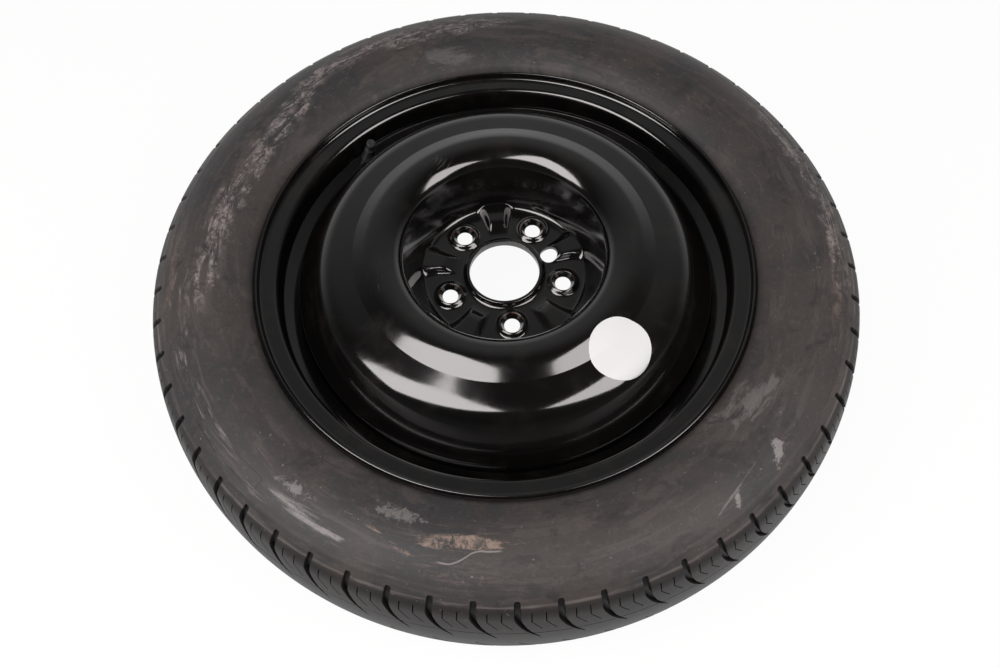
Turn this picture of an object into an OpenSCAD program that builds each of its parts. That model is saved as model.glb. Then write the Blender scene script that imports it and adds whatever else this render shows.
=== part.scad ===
// Space saver spare wheel: a narrow steel wheel with its tyre, lying flat with its outer face up.
// The origin is the middle of the hub mounting face, and +Z points out of the car.

/* [Rim] */
// Diameter of the bead seats
bead_dia = 436.6; // [400:1:470]
// Width between the two flanges
rim_width = 101.6; // [96:0.5:112]
// How far the mounting face lies outboard of the rim's middle
wheel_offset = 33; // [28:0.5:38]
// Thickness of the rolled rim
rim_sheet = 2.6; // [2:0.1:3.2]
// Height of a flange above its bead seat
flange_height = 17.5; // [15:0.1:20]
// Width of a flange, from its tyre side to its edge
flange_width = 10.4; // [7:0.1:13]
// Depth of the well below the bead seats
well_depth = 17.3; // [15:0.1:20]
// Slope of the well's outer wall, in degrees
well_slope = 18; // [10:1:25]
// Width of each bead seat with its hump
seat_width = 24; // [20:0.5:26]
// Height of the safety humps
hump = 0.9; // [0.4:0.1:1.4]

/* [Disc] */
// Thickness of the pressed disc
disc_sheet = 3.6; // [3:0.1:4.4]
// Diameter of the centre bore
bore_dia = 67.1; // [56:0.1:72]
// Height of the collar round the centre bore
collar_height = 5; // [2:0.5:8]
// Thickness of the collar
collar_wall = 3.4; // [2.5:0.1:5]
// Flat of the hub face left between a nut seat's boss and the recess wall
hub_margin = 5.25; // [4:0.25:8]
// Height of the recess shoulder above the hub face
shoulder_height = 48.3; // [42:0.1:56]
// How far the recess wall leans outward, from its foot to its shoulder
wall_lean = 19.7; // [17:0.1:22]
// Width of the dome's inner slope, from the recess shoulder to the ridge
inner_slope = 19.8; // [18:0.1:22]
// Height of the ridge above the shoulder
ridge_rise = 9.2; // [7:0.1:11]
// Width of the dome's outer slope, from the ridge to the crease
outer_slope = 23.3; // [20:0.1:26]
// Drop from the ridge to the crease
crease_drop = 10.9; // [8:0.1:13]
// Width of the skirt, from the bend at its top to the disc's flange
skirt_run = 30.1; // [26:0.1:34]
// Drop from the crease to that bend
skirt_top_drop = 5.9; // [4:0.1:8]
// Height of the skirt's foot above the mounting face
skirt_foot = 5.2; // [0:0.1:10]
// Length of the disc's straight flange inside the well
disc_flange = 36; // [30:0.5:40]

/* [Bolt holes] */
// Number of bolt holes and of raised pads
bolt_count = 5; // [4:1:6]
// Diameter of the bolt circle
bolt_circle = 114.3; // [110:0.1:120]
// Diameter of a bolt hole
bolt_hole_dia = 15; // [13:0.1:16]
// Diameter of the mouth of a conical nut seat
seat_mouth_dia = 21.4; // [20:0.1:24]
// Height of a nut seat's boss above the hub face
boss_height = 3.4; // [2:0.1:4]
// Width of the boss's rim round the nut seat
boss_rim = 1.2; // [0.8:0.1:2]
// Width of the boss's outer slope
boss_skirt = 3.2; // [2:0.1:4]
// Depth of the relief under each boss
relief_depth = 0.6; // [0.4:0.1:1.4]

/* [Pads] */
// Height of the raised pads above the hub face
pad_height = 5; // [3:0.1:6.5]
// Width of a pad's top beside the recess wall
pad_outer_width = 22; // [18:0.5:24]
// Width of a pad's top at its inner end
pad_inner_width = 13; // [10:0.5:15]
// How far a pad's top starts outside the bolt circle
pad_shift = 0.85; // [0:0.05:3]
// Slope of a pad's sides, in degrees
pad_side_slope = 45; // [40:1:60]
// Slope of a pad's inner end, in degrees
pad_end_slope = 25; // [22:1:32]
// Radius of the bends along a pad's top edges
pad_bend = 2.4; // [1:0.1:3.5]
// Diameter of the single locating hole in a pad's inner end
locating_hole_dia = 16.6; // [12:0.2:18]
// How far the locating hole lies inward of its pad's top
locating_inset = 10.4; // [9:0.1:12]

/* [Tyre] */
// Height of the tyre, from the bead seats to the crown
tyre_height = 121.7; // [112:0.1:132]
// How far a sidewall stands out past the rim's flange face
side_bulge = 24.2; // [20:0.1:28]
// How far a sidewall stands out past the tread's rounded shoulder
side_rise = 13.6; // [10:0.1:17]
// Height of the tread's crown above its edges
crown_height = 5; // [3:0.5:8]
// Radius of the rounded shoulders
shoulder_round = 21.8; // [18:0.2:25]
// Height of the tyre's widest place above the bead seats
widest_height = 59.7; // [54:0.1:66]
// How far the lower sidewall stands out past the rim's flange face
bulge = 9; // [7:0.5:12]
// Thickness of the tread with its blocks
tread_thickness = 13; // [11:0.5:16]
// Thickness of the sidewalls
sidewall_thickness = 6.5; // [5:0.5:9]
// Depth of the two fine grooves that run round the tread
round_depth = 2.5; // [1:0.1:4]
// Width of the two fine grooves that run round the tread
round_width = 1.4; // [0.8:0.1:3]
// Distance between those grooves
round_spacing = 43; // [36:0.5:50]
// Number of cross grooves round each shoulder
cross_count = 58; // [40:1:60]
// Width of a cross groove on the shoulder
cross_width = 5; // [3:0.5:6]
// Width of a cross groove at its end on the crown
cross_tip = 1.6; // [1:0.1:3]
// Depth of a cross groove
cross_depth = 5; // [3:0.1:6]
// How far the cross grooves reach down the shoulder, in degrees
cross_reach = 50; // [30:1:54]
// Direction of the first cross groove, in degrees
cross_phase = -89.36; // [-95:0.01:-84]
// How far the inner side's cross grooves are set off, as a share of their spacing
cross_stagger = 0.557; // [0:0.001:1]
// How far a cross groove's end on the crown lies round the tread from its start
cross_sweep = 15.5; // [8:0.5:18]
// Distance from the tread's middle to a cross groove's end
cross_end = 14; // [10:0.5:20]

/* [Valve] */
// Direction of the valve and of the first bolt hole, in degrees
valve_angle = 132; // [0:1:359]
// How far the middle of the valve hole lies inward of the bead seat
valve_inset = 10.1; // [9.5:0.1:10.8]
// Diameter of the valve hole
valve_hole_dia = 11.4; // [11:0.1:12]
// Height of the rubber body above the rim
body_height = 20.5; // [18:0.5:24]
// Diameter of the body's foot
foot_dia = 14.8; // [13.5:0.1:16]
// Diameter of the body's top
neck_dia = 10.6; // [9.5:0.1:12]
// Diameter of the body's head inside the tyre
head_dia = 15.2; // [14:0.1:15.6]
// Length of the body's head inside the tyre
head_length = 7; // [6:0.5:9]
// Length of the threaded brass above the body
thread_length = 9.8; // [9:0.1:12]
// Diameter of the brass thread
thread_dia = 7.7; // [7.4:0.1:8]
// Diameter of the stem where the rubber holds it
stem_dia = 6.4; // [6:0.1:6.8]
// Diameter of the stem's mouth, which takes the core
mouth_dia = 5.2; // [5:0.1:5.4]
// Diameter of the stem's bore round the core's barrel
barrel_bore_dia = 4.4; // [4.2:0.1:4.6]
// Diameter of the air passage
passage_dia = 3; // [2.4:0.1:3.2]
// Diameter of the core's barrel
barrel_dia = 3.9; // [3.7:0.1:4]
// Length of the core's threaded plug
plug_length = 4.6; // [4:0.1:5.4]
// Length of the core's barrel
barrel_length = 6.4; // [6:0.1:7.4]
// Diameter of the core's pin
pin_dia = 1.1; // [0.9:0.1:1.3]
// How far the pin presses in
pin_travel = 1.5; // [1:0.1:1.8]
// Wire of the core's spring
spring_wire = 0.25; // [0.2:0.01:0.3]
// Turns of the core's spring
spring_turns = 5; // [4:1:6]
// Outer diameter of the cap
cap_dia = 9.8; // [9.6:0.1:11]
// Thickness of the cap's closed end
cap_end = 1.4; // [1:0.1:2]
// Thickness of the seal inside the cap
cap_seal_thickness = 0.8; // [0.6:0.1:1.2]
// Number of grip ribs round the cap
cap_ribs = 14; // [8:1:20]

/* [Label] */
// Diameter of the round label
label_dia = 58.5; // [40:0.5:64]
// Direction of the label
label_angle = -47.5; // [-70:0.5:-25]
// How far the middle of the label lies outside the crease
label_shift = 7.2; // [2:0.2:12]
// Tilt of the label, in degrees
label_tilt = 24; // [20:1:28]
// Thickness of the label
label_thickness = 0.3; // [0.2:0.05:0.5]

/* [Welds] */
// Number of weld beads between the disc and the rim
weld_count = 8; // [4:1:12]
// Length of each bead, in degrees
weld_length = 27; // [15:1:28]
// Size of a bead's two legs
weld_leg = 3.4; // [2.5:0.1:4]

/* [Fits] */
// Gap between pieces that seat on each other
seat_gap = 0.1; // [0.05:0.01:0.2]
// Gap between the tyre's beads and the rim
bead_gap = 0.15; // [0.1:0.01:0.25]
// Gap between the valve's rubber and the rim
valve_gap = 0.22; // [0.15:0.01:0.3]
// Gap between the cap and the brass thread
cap_gap = 0.15; // [0.1:0.01:0.25]
// Running gap round the core's pin
pin_gap = 0.09; // [0.05:0.01:0.1]

/* [Hidden] */
$fn = 96;
bend_steps = 6;
arc_steps = 10;
seat_taper = 5;
bead_radius = bead_dia / 2;
flange_face = rim_width / 2;
flange_edge = flange_face + flange_width;
flange_radius = bead_radius + flange_height;
well_inner_radius = bead_radius - well_depth - rim_sheet;
bolt_step = 360 / bolt_count;
hub_top = disc_sheet;
disc_flange_radius = well_inner_radius - seat_gap;
hub_radius = bolt_circle / 2 + seat_mouth_dia / 2 + boss_rim + boss_skirt + hub_margin;
shoulder_radius = hub_radius + wall_lean;
ridge_radius = shoulder_radius + inner_slope;
crease_radius = ridge_radius + outer_slope;
skirt_top_radius = disc_flange_radius - skirt_run;
pad_inner_radius = bolt_circle / 2 + pad_shift;
locating_hole_radius = pad_inner_radius - locating_inset;
valve_radius = bead_radius - valve_inset;
label_radius = crease_radius + label_shift;

// Vector helpers for outlines in the plane of radius and height
function unit(v) = v / norm(v);
function left_of(v) = [-v[1], v[0]];
function turn_between(a, b) = atan2(a[0] * b[1] - a[1] * b[0], a * b);
function backwards(list) = [for (i = [len(list) - 1:-1:0]) list[i]];
function flipped(list) = [for (p = list) [p[0], -p[1]]];

// Points of the bend of radius r at corner b, between the corners a and c
function bend(a, b, c, r) =
    let (
        u = unit(b - a),
        v = unit(c - b),
        turn = turn_between(u, v),
        start = b - u * r * tan(abs(turn) / 2),
        centre = start + left_of(u) * r * sign(turn),
        arm = start - centre
    )
    r == 0 ? [b] : [
        for (i = [0:bend_steps])
            let (w = turn * i / bend_steps)
            centre + [arm[0] * cos(w) - arm[1] * sin(w), arm[0] * sin(w) + arm[1] * cos(w)]
    ];

// A line through corners, each given as [radius, height, bend radius], with its bends rounded.
// Two bends that would meet on a short side share it in proportion to their sizes.
function bent_line(corners) =
    let (
        last = len(corners) - 1,
        p = [for (q = corners) [q[0], q[1]]],
        need = [
            for (i = [0:last])
                i == 0 || i == last
                    ? 0
                    : corners[i][2] * tan(abs(turn_between(p[i] - p[i - 1], p[i + 1] - p[i])) / 2)
        ],
        room = [
            for (i = [0:last - 1])
                min(1, 0.995 * norm(p[i + 1] - p[i]) / max(0.001, need[i] + need[i + 1]))
        ]
    )
    [
        for (i = [0:last])
            each i == 0 || i == last
                ? [p[i]]
                : bend(p[i - 1], p[i], p[i + 1], corners[i][2] * min(room[i - 1], room[i]))
    ];

// The same line moved sideways, to its left for a positive distance
function beside(path, distance) =
    let (last = len(path) - 1)
    [
        for (i = [0:last])
            let (
                u = unit(path[min(i + 1, last)] - path[min(i, last - 1)]),
                t = unit(path[max(i, 1)] - path[max(i - 1, 0)]),
                n = unit(left_of(u) + left_of(t))
            )
            path[i] + n * distance / (n * left_of(u))
    ];

// Points of an arc round a centre, from one angle to another
function arc(centre, r, from, to) = [
    for (i = [0:arc_steps])
        let (w = from + (to - from) * i / arc_steps)
        centre + r * [cos(w), sin(w)]
];

// A ring of sheet metal whose left side follows the path
module sheet_ring(path, thickness) {
    rotate_extrude() polygon(concat(path, backwards(beside(path, -thickness))));
}

// Places a piece in the direction of an angle, at a distance from the wheel's axis
module toward(angle, distance = 0) {
    rotate([0, 0, angle]) translate([distance, 0, 0]) children();
}

// Tyre side of the rim from its outer flange edge to the middle of the well, about the rim's middle plane
seat_end = flange_face - seat_width;
seat_drop = seat_width * tan(seat_taper);
wall_run = well_depth - seat_drop;
well_top = seat_end - wall_run * tan(well_slope);
well_bottom = seat_end - wall_run;
heel_bend = 3;
function half_rim(well_end) = [
    [flange_radius, flange_edge, 0],
    [flange_radius, flange_face, 4 + rim_sheet],
    [bead_radius, flange_face, heel_bend],
    [bead_radius - seat_drop + hump * 0.2, seat_end + 7.5, 3],
    [bead_radius - seat_drop + hump, seat_end + 5, 3],
    [bead_radius - seat_drop + hump, seat_end + 2.6, 3],
    [bead_radius - seat_drop, seat_end, 3],
    [bead_radius - well_depth, well_end, 1.5]
];
rim_line = bent_line(concat(
    half_rim(well_top),
    backwards([for (q = half_rim(well_bottom)) [q[0], -q[1], q[2]]])
));

// Heights along the disc's outer face, from its hub to the end of its flange
shoulder_z = hub_top + shoulder_height;
ridge_z = shoulder_z + ridge_rise;
crease_z = ridge_z - crease_drop;
skirt_top_z = crease_z - skirt_top_drop;
disc_end_z = skirt_foot - disc_flange;
collar_radius = bore_dia / 2 + collar_wall;
collar_bend = 4.5;
dish_corners = [
    [hub_radius, hub_top, 5],
    [shoulder_radius, shoulder_z, 19],
    [ridge_radius, ridge_z, 30],
    [crease_radius, crease_z, 2.5],
    [skirt_top_radius, skirt_top_z, 55],
    [disc_flange_radius, skirt_foot, 8],
    [disc_flange_radius, disc_end_z, 0]
];
dish_line = bent_line(concat([[collar_radius + collar_bend + 1, hub_top, 0]], dish_corners));
collar_line = bent_line([
    [bore_dia / 2 + 2, 0, 0],
    [bore_dia / 2, 0, 2],
    [bore_dia / 2, hub_top + collar_height, 0.6],
    [collar_radius, hub_top + collar_height, 1.2],
    [collar_radius, hub_top, collar_bend],
    [collar_radius + collar_bend + 1, hub_top, 0]
]);

// Outer line of half the tyre, from its crown to its bead toe, about the rim's middle plane
tyre_radius = bead_radius + tyre_height;
widest_radius = bead_radius + widest_height;
half_width = flange_face + side_bulge;
half_tread = half_width - side_rise - shoulder_round;
crown_fall = crown_height + shoulder_round;
crown_round = (half_tread * half_tread + crown_fall * crown_fall - shoulder_round * shoulder_round)
    / 2 / crown_height;
crown_turn = atan2(half_tread, crown_round - crown_fall);
crown_edge = crown_round * sin(crown_turn);
shoulder_centre = [tyre_radius - crown_fall, half_tread];
upper_gap = shoulder_centre[0] - widest_radius;
side_gap = half_width - half_tread;
upper_round = (upper_gap * upper_gap + side_gap * side_gap - shoulder_round * shoulder_round)
    / 2 / (side_gap - shoulder_round);
upper_centre = [widest_radius, half_width - upper_round];
shoulder_turn = atan2(shoulder_centre[1] - upper_centre[1], shoulder_centre[0] - upper_centre[0]);
lower_r = flange_radius + 4;
lower_z = flange_face + bulge;
lower_round = (pow(widest_radius - lower_r, 2) + pow(half_width - lower_z, 2)) / 2 / (half_width - lower_z);
lower_centre = [widest_radius, half_width - lower_round];
lower_angle = 180 - asin((lower_z - lower_centre[1]) / lower_round);
toe_z = flange_face - 13.4;

function crown_radius_at(z) = tyre_radius - crown_round + sqrt(crown_round * crown_round - z * z);

half_tyre = concat(
    [for (i = [0:11]) [crown_radius_at(crown_edge * i / 12), crown_edge * i / 12]],
    arc(shoulder_centre, shoulder_round, crown_turn, shoulder_turn),
    arc(upper_centre, upper_round, shoulder_turn + 2, 90),
    arc(lower_centre, lower_round, 94, lower_angle),
    bent_line([
        [lower_r, lower_z, 0],
        [flange_radius + 1.6, lower_z - 4.5, 2],
        [flange_radius + 1.2, flange_face - bead_gap, 7],
        [bead_radius + bead_gap, flange_face - bead_gap, heel_bend + 0.5],
        [bead_radius + bead_gap - (flange_face - toe_z) * tan(seat_taper), toe_z, 0]
    ])
);
inner_side = sidewall_thickness;
half_cavity = concat(
    [[bead_radius + 4, toe_z - 1.5]],
    arc(lower_centre, lower_round - inner_side, lower_angle - 10, 94),
    arc(upper_centre, upper_round - inner_side, 90, shoulder_turn + 6),
    [[tyre_radius - tread_thickness - crown_height * 0.9, half_tread * 0.86]],
    [[tyre_radius - tread_thickness, 0]]
);

module tyre() {
    color("#262524")
    translate([0, 0, -wheel_offset])
    difference() {
        rotate_extrude() polygon(concat(
            half_tyre,
            half_cavity,
            backwards(flipped(half_cavity)),
            backwards(flipped(half_tyre))
        ));
        for (side = [-1, 1]) round_groove(side * round_spacing / 2);
        for (i = [0:cross_count - 1]) {
            rotate([0, 0, cross_phase + i * cross_pitch]) cross_groove();
            rotate([180, 0, cross_phase + (i + cross_stagger) * cross_pitch]) cross_groove();
        }
    }
}

module round_groove(z) {
    floor_r = crown_radius_at(abs(z)) - round_depth;
    half = round_width / 2;
    rotate_extrude()
    polygon([
        [floor_r, z - half * 0.6],
        [floor_r, z + half * 0.6],
        [tyre_radius + 1, z + half],
        [tyre_radius + 1, z - half]
    ]);
}

// A cross groove runs straight over the rounded shoulder, then bends and narrows on the crown
cross_pitch = 360 / cross_count;
cross_bend = crown_edge + 1;
cross_elbow = cross_bend * 0.58;
module cross_groove() {
    half = cross_width / 2;
    elbow = half * 0.6;
    tip = cross_tip / 2;
    floor_r = crown_radius_at(crown_edge) - cross_depth;
    floor_points = [
        for (i = [1:4])
            let (w = crown_turn + 4 + (cross_reach - 8 - crown_turn) * i / 4)
            shoulder_centre + (shoulder_round - cross_depth) * [cos(w), sin(w)]
    ];
    rotate([90, 0, 0])
    linear_extrude(height = cross_width, center = true)
    polygon(concat(
        [[tyre_radius + 2, cross_bend], [floor_r, cross_bend]],
        floor_points,
        [shoulder_centre + (shoulder_round + 0.6) * [cos(cross_reach), sin(cross_reach)]],
        [shoulder_centre + (shoulder_round + 9) * [cos(cross_reach), sin(cross_reach)]],
        [[tyre_radius + 2, half_tread + shoulder_round * 0.6]]
    ));
    intersection() {
        translate([floor_r - 2, 0, 0])
        rotate([90, 0, 90])
        linear_extrude(height = crown_height + cross_depth + 6)
        polygon([
            [-half, cross_bend + 0.02],
            [half, cross_bend + 0.02],
            [cross_sweep * 0.5 + elbow, cross_elbow],
            [cross_sweep + tip, cross_end],
            [cross_sweep - tip, cross_end],
            [cross_sweep * 0.5 - elbow, cross_elbow]
        ]);
        rotate([90, 0, 0])
        linear_extrude(height = 4 * cross_sweep, center = true)
        polygon([
            [tyre_radius + 3, cross_end - 1],
            [crown_radius_at(cross_end) - cross_depth * 0.4, cross_end - 1],
            [crown_radius_at(cross_elbow) - cross_depth, cross_elbow],
            [floor_r, cross_bend + 0.03],
            [tyre_radius + 3, cross_bend + 0.03]
        ]);
    }
}

module rim() {
    color("#1c1b1a")
    difference() {
        translate([0, 0, -wheel_offset]) sheet_ring(rim_line, rim_sheet);
        valve_place() cylinder(d = valve_hole_dia, h = 6 * rim_sheet, center = true);
    }
}

// A raised pad, or the pocket under it when the sheet's thickness is given
module pad(sheet = 0) {
    top = hub_top + pad_height - sheet;
    foot = sheet > 0 ? -1 : hub_top - 1;
    rise = top - foot;
    half = pad_inner_width / 2 - sheet * tan(pad_side_slope / 2);
    end = pad_inner_radius + sheet * tan(pad_end_slope / 2);
    round = sheet > 0 ? 0.2 : pad_bend;
    reach = sheet > 0 ? hub_radius + 16 : hub_radius + 3.4;
    taper = atan((pad_outer_width - pad_inner_width) / 2 / (hub_radius + 2 - pad_inner_radius));
    side = bent_line([
        [-hub_radius, top, 0],
        [half, top, round],
        [half + rise / tan(pad_side_slope), foot, 0],
        [-hub_radius, foot, 0]
    ]);
    intersection() {
        pad_side(taper) polygon(side);
        pad_side(-taper) polygon([for (p = side) [-p[0], p[1]]]);
        rotate([90, 0, 0])
        linear_extrude(height = 2 * hub_radius, center = true)
        polygon(bent_line([
            [end - rise / tan(pad_end_slope), foot, 0],
            [end, top, round],
            [reach, top, 0],
            [reach - (sheet > 0 ? 0 : rise * 0.4), foot, 0]
        ]));
    }
}

// Runs a pad's side outline outward from the pad's inner end, turned by an angle
module pad_side(angle) {
    translate([pad_inner_radius, 0, 0])
    rotate([0, 0, angle])
    rotate([90, 0, 90])
    translate([0, 0, -hub_radius / 2])
    linear_extrude(height = hub_radius * 1.2)
    children();
}

module bolt_boss() {
    rim_r = seat_mouth_dia / 2 + boss_rim;
    rotate_extrude()
    polygon([
        [0, hub_top - 1],
        [0, hub_top + boss_height],
        [rim_r, hub_top + boss_height],
        [rim_r + boss_skirt, hub_top],
        [rim_r + boss_skirt, hub_top - 1]
    ]);
}

// Nut seat with its 60 degree cone, the straight hole and the relief under the boss
module bolt_cut() {
    mouth = seat_mouth_dia / 2;
    hole = bolt_hole_dia / 2;
    top = hub_top + boss_height;
    rotate_extrude()
    polygon([
        [0, -1],
        [mouth + 3 * relief_depth, -1],
        [mouth + 2 * relief_depth, 0],
        [mouth, relief_depth],
        [hole, relief_depth],
        [hole, top - (mouth - hole) / tan(30)],
        [mouth, top],
        [mouth, top + 1],
        [0, top + 1]
    ]);
}

module disc() {
    color("#1a1918")
    difference() {
        union() {
            difference() {
                rotate_extrude() polygon(concat(
                    collar_line,
                    dish_line,
                    backwards(beside(dish_line, -disc_sheet))
                ));
                for (i = [0:bolt_count - 1]) toward(valve_angle + (i + 0.5) * bolt_step) pad(disc_sheet);
            }
            for (i = [0:bolt_count - 1]) {
                toward(valve_angle + (i + 0.5) * bolt_step) pad();
                toward(valve_angle + i * bolt_step, bolt_circle / 2) bolt_boss();
            }
        }
        for (i = [0:bolt_count - 1]) toward(valve_angle + i * bolt_step, bolt_circle / 2) bolt_cut();
        toward(valve_angle + 3.5 * bolt_step, locating_hole_radius)
        cylinder(d = locating_hole_dia, h = shoulder_height, center = true);
    }
}

module disc_welds() {
    color("#4a4643")
    for (i = [0:weld_count - 1]) {
        rotate([0, 0, (i + 0.5) * 360 / weld_count - weld_length / 2])
        rotate_extrude(angle = weld_length)
        polygon([
            [well_inner_radius, disc_end_z],
            [well_inner_radius, disc_end_z - weld_leg],
            [well_inner_radius - weld_leg * 0.4, disc_end_z - weld_leg * 0.8],
            [well_inner_radius - weld_leg, disc_end_z]
        ]);
    }
}

// The valve's own axis starts in the middle of its hole, on the rim's visible side
valve_z = seat_end - wheel_offset - (bead_radius - seat_drop - valve_radius) * tan(well_slope)
    + rim_sheet / cos(well_slope);
module valve_place() {
    toward(valve_angle, valve_radius) translate([0, 0, valve_z]) rotate([0, -well_slope, 0]) children();
}

stem_top = body_height + thread_length;
stem_foot = -rim_sheet - head_length + 3;
plug_top = stem_top - 0.7;
plug_foot = plug_top - plug_length;
barrel_foot = plug_foot - barrel_length;
washer_thickness = 0.6;
pin_top = stem_top - 0.35;
spring_radius = barrel_dia / 2 - 0.72;
spring_seat = barrel_foot + 0.8;
pin_collar = plug_foot - 0.7;

module valve_body() {
    hole = valve_hole_dia / 2 - valve_gap;
    head = head_dia / 2;
    color("#141413")
    valve_place()
    difference() {
        rotate_extrude() polygon([
            [passage_dia / 2, -rim_sheet - head_length],
            [head - 3.6, -rim_sheet - head_length],
            [head - 0.6, -rim_sheet - 2.2],
            [head, -rim_sheet - 1.2],
            [head - 0.5, -rim_sheet - valve_gap],
            [hole, -rim_sheet - valve_gap],
            [hole, valve_gap],
            [foot_dia / 2 - 0.6, valve_gap],
            [foot_dia / 2, 0.8],
            [foot_dia / 2, 1.7],
            [foot_dia / 2 - 0.6, 2.4],
            [neck_dia / 2 + 1.1, 5.5],
            [neck_dia / 2 + 0.2, 12],
            [neck_dia / 2, body_height - 0.7],
            [neck_dia / 2 - 0.7, body_height],
            [stem_dia / 2, body_height],
            [stem_dia / 2, stem_foot + 1.4],
            [stem_dia / 2 + 0.9, stem_foot + 1.4],
            [stem_dia / 2 + 0.9, stem_foot],
            [passage_dia / 2, stem_foot]
        ]);
    }
}

module valve_stem() {
    thread = thread_dia / 2;
    color("#b59a5a")
    valve_place()
    rotate_extrude() polygon([
        [passage_dia / 2, stem_foot],
        [stem_dia / 2 + 0.9, stem_foot],
        [stem_dia / 2 + 0.9, stem_foot + 1.4],
        [stem_dia / 2, stem_foot + 1.4],
        [stem_dia / 2, body_height + 0.8],
        [thread, body_height + 1.4],
        [thread, stem_top - 0.6],
        [thread - 0.6, stem_top],
        [mouth_dia / 2 + 0.3, stem_top],
        [mouth_dia / 2, stem_top - 0.4],
        [mouth_dia / 2, plug_foot - 0.2],
        [barrel_bore_dia / 2, plug_foot - 1],
        [barrel_bore_dia / 2, barrel_foot - 3.4],
        [passage_dia / 2, barrel_foot - 4.2]
    ]);
}

// The core's threaded plug with its two key flats, and its barrel with the spring's chamber
module core_housing() {
    guide = pin_dia / 2 + pin_gap;
    plug = mouth_dia / 2 - 0.05;
    chamber = spring_radius + spring_wire / 2 + 0.08;
    color("#c2a566")
    valve_place()
    difference() {
        rotate_extrude() polygon([
            [guide, plug_top],
            [plug - 0.3, plug_top],
            [plug, plug_top - 0.3],
            [plug, plug_foot],
            [barrel_dia / 2, plug_foot],
            [barrel_dia / 2, barrel_foot + 0.3],
            [barrel_dia / 2 - 0.3, barrel_foot],
            [guide + 0.35, barrel_foot],
            [guide + 0.35, spring_seat],
            [chamber, spring_seat],
            [chamber, plug_foot + 0.4],
            [guide, plug_foot + 0.4]
        ]);
        for (side = [-1, 1]) {
            translate([side * 3, 0, plug_top]) cube([3.6, 8, 4.4], center = true);
            translate([0, side * 1.5, plug_foot]) cylinder(d = 0.7, h = 12, center = true, $fn = 24);
        }
    }
}

module core_seal() {
    color("#d8d4c8")
    valve_place()
    rotate_extrude() polygon([
        [barrel_dia / 2, plug_foot - 1.9],
        [barrel_bore_dia / 2, plug_foot - 1.7],
        [barrel_bore_dia / 2, plug_foot - 1],
        [mouth_dia / 2 - 0.12, plug_foot - 0.2],
        [mouth_dia / 2 - 0.12, plug_foot],
        [barrel_dia / 2, plug_foot]
    ]);
}

// One coil of wire after another, from the barrel's seat to the pin's collar
module core_spring() {
    steps = 16;
    sides = 6;
    low = spring_seat + spring_wire / 2;
    high = pin_collar - spring_wire / 2;
    last = steps * spring_turns;
    points = [
        for (i = [0:last], k = [0:sides - 1])
            let (
                w = 360 * i / steps,
                q = 360 * k / sides,
                r = spring_radius + spring_wire / 2 * cos(q)
            )
            [r * cos(w), r * sin(w), low + (high - low) * i / last + spring_wire / 2 * sin(q)]
    ];
    color("#8f9296")
    valve_place()
    polyhedron(points, concat(
        [[for (k = [0:sides - 1]) k]],
        [
            for (i = [0:last - 1], k = [0:sides - 1])
                each [
                    [i * sides + k, (i + 1) * sides + k, (i + 1) * sides + (k + 1) % sides],
                    [i * sides + k, (i + 1) * sides + (k + 1) % sides, i * sides + (k + 1) % sides]
                ]
        ],
        [[for (k = [sides - 1:-1:0]) last * sides + k]]
    ));
}

module core_pin() {
    pin = pin_dia / 2;
    cup = barrel_dia / 2 - 0.5;
    color("#b8bbbf")
    valve_place()
    rotate_extrude() polygon([
        [0, barrel_foot - washer_thickness - 1.4],
        [cup - 0.4, barrel_foot - washer_thickness - 1.4],
        [cup, barrel_foot - washer_thickness - 0.9],
        [cup, barrel_foot - washer_thickness],
        [pin, barrel_foot - washer_thickness],
        [pin, pin_collar],
        [spring_radius + spring_wire / 2, pin_collar],
        [spring_radius + spring_wire / 2, pin_collar + 0.4],
        [pin, pin_collar + 0.4],
        [pin, pin_top - 0.3],
        [pin - 0.2, pin_top],
        [0, pin_top]
    ]);
}

module core_washer() {
    color("#3a2f2a")
    valve_place()
    rotate_extrude() polygon([
        [pin_dia / 2, barrel_foot - washer_thickness],
        [barrel_dia / 2 - 0.35, barrel_foot - washer_thickness],
        [barrel_dia / 2 - 0.35, barrel_foot],
        [pin_dia / 2, barrel_foot]
    ]);
}

module valve_cap() {
    bore = thread_dia / 2 + cap_gap;
    low = body_height + 0.3;
    roof = stem_top + cap_seal_thickness;
    top = roof + cap_end;
    side = cap_dia / 2;
    color("#1b1b1a")
    valve_place() {
        rotate_extrude() polygon([
            [0, roof],
            [0, top - 0.5],
            [1.8, top - 0.5],
            [2.3, top],
            [side - 1.3, top],
            [side - 0.6, top - 0.6],
            [side - 0.4, low + 2.2],
            [side, low + 1.8],
            [side, low],
            [bore + 0.2, low],
            [bore, low + 0.4],
            [bore, roof]
        ]);
        for (i = [0:cap_ribs - 1]) {
            toward(i * 360 / cap_ribs, side - 0.55)
            translate([0, 0, low + 1])
            rotate([0, 0, 45])
            cylinder(r = 0.62, h = top - low - 2.2, $fn = 4);
        }
    }
}

module cap_seal() {
    color("#2a2a29")
    valve_place()
    translate([0, 0, stem_top])
    difference() {
        cylinder(r = thread_dia / 2 + cap_gap - seat_gap, h = cap_seal_thickness);
        translate([0, 0, -1]) cylinder(r = 1, h = 4);
    }
}

// A round label that follows the dome's outer face
module label() {
    over = [for (p = dish_line) if (p[0] > shoulder_radius + 8 && p[1] > skirt_foot + 14) p];
    low = beside(over, seat_gap / 2);
    color("#b9bcc0")
    intersection() {
        rotate_extrude() polygon(concat(low, backwards(beside(low, label_thickness))));
        toward(label_angle, label_radius)
        translate([0, 0, crease_z])
        rotate([0, label_tilt, 0])
        cylinder(d = label_dia, h = label_dia, center = true);
    }
}

tyre();
rim();
disc();
disc_welds();
valve_body();
valve_stem();
core_housing();
core_seal();
core_spring();
core_pin();
core_washer();
valve_cap();
cap_seal();
label();
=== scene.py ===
"""Looks of the space saver spare wheel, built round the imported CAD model. Lengths are in metres."""

import math

import bpy
import bmesh
import numpy as np
from mathutils import Matrix, Vector


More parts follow.
